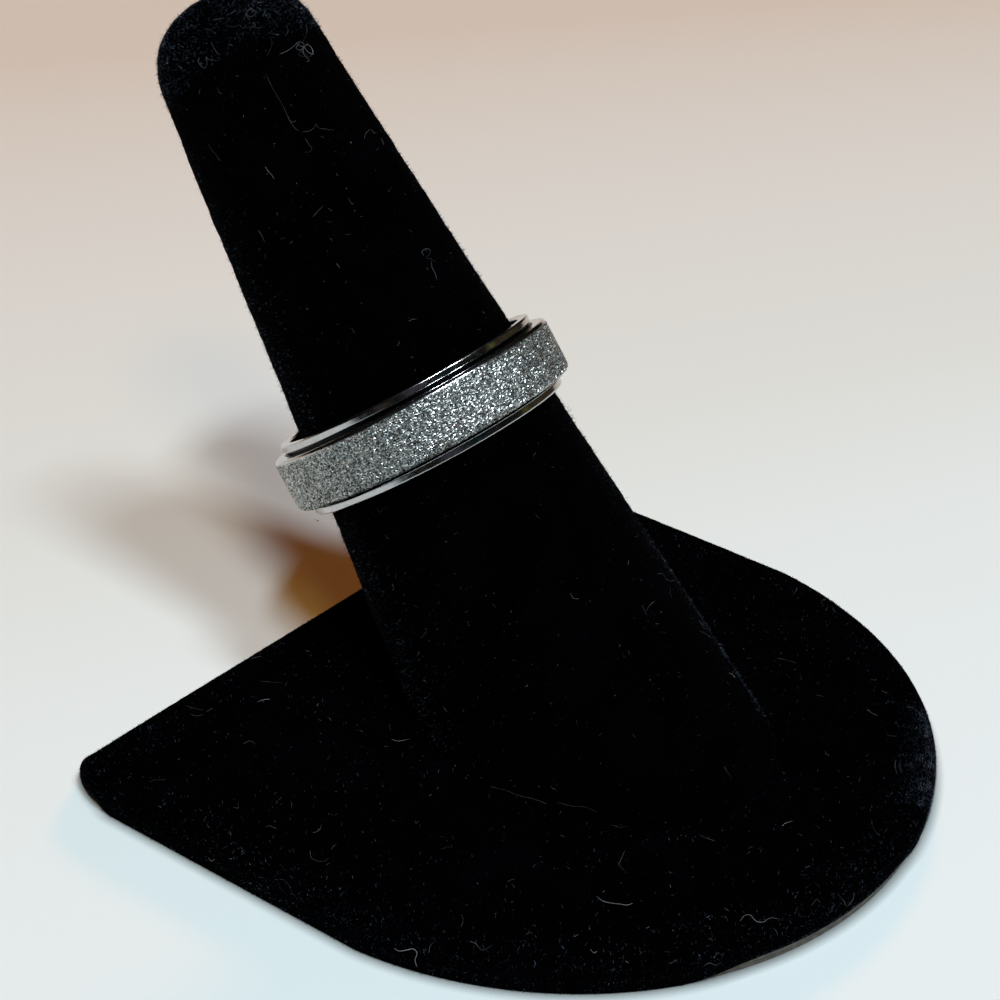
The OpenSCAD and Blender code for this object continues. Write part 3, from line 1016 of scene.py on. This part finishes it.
def make_lint(seed=31, count=620):
    rng = np.random.default_rng(seed)
    all_p, all_f, tone, at = [], [], [], 0

    def add(path, width):
        nonlocal at
        p, f = tube(path, width)
        all_p.append(p)
        all_f.extend([[q + at for q in face] for face in f])
        tone.extend([1 if width >= 0.0295 else 0] * len(f))
        at += len(p)

    for width, places in LINT:
        lift = rng.uniform(0.06, 0.20, len(places))
        pts = [on_surface(x, y, u) for (x, y), u in zip(places, lift)]
        pts = np.array([q for q in pts if q is not None])
        if len(pts) < 2 or np.linalg.norm(np.diff(pts, axis=0), axis=1).max() > 3.0:
            print("lint left out:", width, places)
            continue
        path = smooth_path(pts, 5 * len(pts))
        add(path, width)
    made = 0
    while made < count:
        if rng.uniform() < 0.52:
            # on the base
            x, y = rng.uniform(-30, 30), rng.uniform(-25.5, 26.5)
            if not inside_base(np.array([[x, y]]), 0.6)[0]:
                continue
            o = np.array([x, y, TOP_Z + 0.05])
            e1, e2, nn = np.array([1.0, 0, 0]), np.array([0, 1.0, 0]), np.array([0, 0, 1.0])
            inv = place(np.linalg.inv(ON_FINGER), o[None])[0]
            if math.hypot(inv[0], inv[1]) < finger_radius(inv[2]) + PILE + 0.1:
                continue
        else:
            l, t = rng.uniform(-8, CONE_L), rng.uniform(0, 2 * math.pi)
            r = finger_radius(l) + PILE * 0.9
            loc = np.array([math.cos(t) * r, math.sin(t) * r, l])
            if pile_height(loc[None])[0] < 0.9 * PILE:
                continue
            o = place(ON_FINGER, loc[None])[0]
            if o[2] < TOP_Z + 0.2:
                continue
            m = ON_FINGER[:3, :3]
            nn = m @ np.array([math.cos(t), math.sin(t), TAPER])
            nn /= np.linalg.norm(nn)
            e1 = m @ np.array([-math.sin(t), math.cos(t), 0])
            e2 = np.cross(nn, e1)
        size = float(np.clip(rng.lognormal(-1.25, 0.6), 0.08, 1.5))
        k = 6
        heading = rng.uniform(0, 2 * math.pi)
        pos, path = np.zeros(2), []
        for q in range(k):
            path.append(o + e1 * pos[0] + e2 * pos[1] + nn * (0.04 + 0.10 * abs(math.sin(q * 1.3 + heading))))
            heading += rng.normal(0, 0.6)
            pos = pos + np.array([math.cos(heading), math.sin(heading)]) * size / (k - 1)
        add(np.array(path), rng.uniform(0.014, 0.0299))
        made += 1
    ob = mesh_object("lint_fibres", np.vstack(all_p), all_f, [MAT_LINT, MAT_LINT_PALE], np.array(tone))
    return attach(ob, "root")


make_inner_band()
make_spinner()
make_finger()
make_base()
make_bare_edge()
finger_fuzz()
base_fuzz()
make_tufts()
make_lint()

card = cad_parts["base_backing"]
card.data.materials.clear()
card.data.materials.append(MAT_CARD)


# ---------------------------------------------------------------------------
# Floor, light and world
# ---------------------------------------------------------------------------
def make_floor():
    m, nt, b = new_material("floor")
    b.inputs["Roughness"].default_value = 0.75
    b.inputs["Specular IOR Level"].default_value = 0.15
    co = node(nt, "ShaderNodeTexCoord")
    # painted light falloff: pale and cool in front, darker and warmer further back
    along = node(nt, "ShaderNodeVectorMath", operation="DOT_PRODUCT")
    along.inputs[1].default_value = (0.507, 0.996, 0.0)
    nt.links.new(co.outputs["Object"], along.inputs[0])
    scaled = node(nt, "ShaderNodeMath", operation="MULTIPLY_ADD")
    scaled.inputs[1].default_value = 3.226
    scaled.inputs[2].default_value = 0.097
    nt.links.new(along.outputs["Value"], scaled.inputs[0])
    colour = ramp(nt, scaled.outputs["Value"], [(0.0, (0.85, 0.95, 0.97)), (0.145, (0.825, 0.895, 0.89)), (0.29, (0.77, 0.795, 0.755)), (0.52, (0.75, 0.73, 0.68)), (1.0, (0.69, 0.59, 0.50))])
    # painted contact shade: the floor's colour darkens within 0.9 mm of the base and anything else on it
    near = node(nt, "ShaderNodeAmbientOcclusion", samples=8)
    near.inputs["Distance"].default_value = 0.0009
    deeper = node(nt, "ShaderNodeMath", operation="POWER")
    deeper.inputs[1].default_value = 1.5
    nt.links.new(near.outputs["AO"], deeper.inputs[0])
    shade = node(nt, "ShaderNodeVectorMath", operation="SCALE")
    nt.links.new(colour.outputs["Color"], shade.inputs[0])
    nt.links.new(deeper.outputs["Value"], shade.inputs["Scale"])
    nt.links.new(shade.outputs["Vector"], b.inputs["Base Color"])
    s = 5.0
    me = bpy.data.meshes.new("floor")
    me.from_pydata([(-s, -s, -0.00002), (s, -s, -0.00002), (s, s, -0.00002), (-s, s, -0.00002)], [], [[0, 1, 2, 3]])
    me.materials.append(m)
    ob = link(bpy.data.objects.new("floor", me))


def area(name, towards, distance, length, width, along, floor_light, colour):
    """A soft light above the object, its long side along the given direction, of the given share of the floor's light."""
    v = Vector(towards).normalized()
    x = Vector(along)
    x = (x - v * x.dot(v)).normalized()
    y = v.cross(x)
    d = bpy.data.lights.new(name, "AREA")
    d.shape = "RECTANGLE"
    d.size, d.size_y = length, width
    d.energy = floor_light * math.pi ** 2 * distance ** 2 / v.z
    d.color = colour
    ob = link(bpy.data.objects.new(name, d))
    m = Matrix.Identity(4)
    for i in range(3):
        m[i][0], m[i][1], m[i][2], m[i][3] = x[i], y[i], v[i], v[i] * distance + (0.0, 0.01, 0.02)[i]
    ob.matrix_world = m
    return ob


def make_flag():
    """Painted reflection: a low dark panel beside the camera, seen only in the ring's polish, where the pale table
    fades out.
    """
    m, nt, b = new_material("dark_panel_painted_reflection")
    b.inputs["Roughness"].default_value = 1.0
    b.inputs["Specular IOR Level"].default_value = 0.0
    b.inputs["Base Color"].default_value = (0.004, 0.004, 0.003, 1.0)
    co = node(nt, "ShaderNodeTexCoord")
    sep = nt.nodes.new("ShaderNodeSeparateXYZ")
    nt.links.new(co.outputs["Object"], sep.inputs["Vector"])
    fade = node(nt, "ShaderNodeMapRange", interpolation_type="SMOOTHSTEP")
    fade.inputs["From Min"].default_value = 0.003
    fade.inputs["From Max"].default_value = 0.014
    nt.links.new(sep.outputs["Z"], fade.inputs["Value"])
    nt.links.new(fade.outputs["Result"], b.inputs["Alpha"])
    me = bpy.data.meshes.new("dark_panel_painted_reflection")
    t = np.radians(np.linspace(150, 262, 30))
    ring = np.column_stack([0.105 * np.cos(t), 0.105 * np.sin(t)])
    pts = [(x, y, z) for x, y in ring for z in (0.0005, 0.030)]
    me.from_pydata(pts, [], [[2 * i, 2 * i + 2, 2 * i + 3, 2 * i + 1] for i in range(len(ring) - 1)])
    me.materials.append(m)
    ob = link(bpy.data.objects.new("dark_panel_painted_reflection", me))
    ob.visible_camera = ob.visible_diffuse = ob.visible_shadow = False


make_floor()
make_flag()
area("left", (-0.38, -0.46, 1.0), 20.0, 4.5, 2.2, (1.0, 0.45, 0.0), 0.42, (0.926, 1.045, 1.14))
area("right", (-0.02, -0.44, 1.0), 20.0, 6.1, 2.8, (0.0, 1.0, 0.0), 0.36, (0.926, 1.045, 1.14))
fill = area("fill", (-0.66, -0.92, 1.0), 20.0, 3.4, 3.4, (1.0, 0.0, 0.0), 0.09, (1.0, 0.62, 0.14))
fill.visible_glossy = False
warm = area("warm", (0.87, 0.43, 0.27), 20.0, 4.2, 2.0, (-0.43, 0.87, 0.0), 0.13, (1.0, 0.26, 0.0))
warm.visible_glossy = False


def room_patch(nt, below, direction, inner, outer, colour):
    """A soft round patch of the room in one direction; inner and outer are its radii in degrees."""
    d = Vector(direction).normalized()
    dot = nt.nodes.new("ShaderNodeVectorMath")
    dot.operation = "DOT_PRODUCT"
    dot.inputs[1].default_value = d
    nt.links.new(w_co.outputs["Generated"], dot.inputs[0])
    fade = nt.nodes.new("ShaderNodeMapRange")
    fade.interpolation_type = "SMOOTHSTEP"
    fade.inputs["From Min"].default_value = math.cos(math.radians(outer))
    fade.inputs["From Max"].default_value = math.cos(math.radians(inner))
    nt.links.new(dot.outputs["Value"], fade.inputs["Value"])
    mix = nt.nodes.new("ShaderNodeMix")
    mix.data_type = "RGBA"
    mix.inputs[7].default_value = (*colour, 1.0)
    nt.links.new(fade.outputs["Result"], mix.inputs[0])
    nt.links.new(below, mix.inputs[6])
    return mix.outputs[2]


# a dark room round the table, with a few dim warm and cool things in it, as the ring mirrors it
world = bpy.data.worlds.new("studio")
scene.world = world
world.use_nodes = True
wn = world.node_tree
wn.nodes.clear()
w_out = wn.nodes.new("ShaderNodeOutputWorld")
w_bg = wn.nodes.new("ShaderNodeBackground")
w_co = wn.nodes.new("ShaderNodeTexCoord")
w_sep = wn.nodes.new("ShaderNodeSeparateXYZ")
wn.links.new(w_co.outputs["Generated"], w_sep.inputs["Vector"])
w_ramp = ramp(wn, w_sep.outputs["Z"], [(0.0, (0.006, 0.006, 0.004)), (0.50, (0.007, 0.006, 0.004)), (0.64, (0.010, 0.010, 0.009)), (1.0, (0.014, 0.014, 0.013))])
room = w_ramp.outputs["Color"]
for direction, inner, outer, colour in [
    ((-0.93, -0.34, 0.02), 3, 15, (0.040, 0.033, 0.028)),
    ((-0.60, -0.74, 0.30), 3, 13, (0.050, 0.047, 0.062)),
    ((-0.20, -0.88, 0.45), 4, 14, (0.004, 0.012, 0.013)),
    ((0.62, -0.68, 0.42), 1, 6, (0.130, 0.125, 0.030)),
    ((0.88, -0.40, 0.26), 6, 26, (0.045, 0.034, 0.018)),
]:
    room = room_patch(wn, room, direction, inner, outer, colour)
w_path = wn.nodes.new("ShaderNodeLightPath")
w_mix = wn.nodes.new("ShaderNodeMix")
w_mix.data_type = "RGBA"
w_mix.inputs[7].default_value = (0.64, 0.56, 0.48, 1.0)
wn.links.new(w_path.outputs["Is Camera Ray"], w_mix.inputs[0])
wn.links.new(room, w_mix.inputs[6])
wn.links.new(w_mix.outputs[2], w_bg.inputs["Color"])
w_bg.inputs["Strength"].default_value = 1.0
wn.links.new(w_bg.outputs["Background"], w_out.inputs["Surface"])

scene.view_settings.view_transform = "Standard"
scene.view_settings.look = "None"
scene.view_settings.exposure = 0.0
scene.view_settings.gamma = 1.0
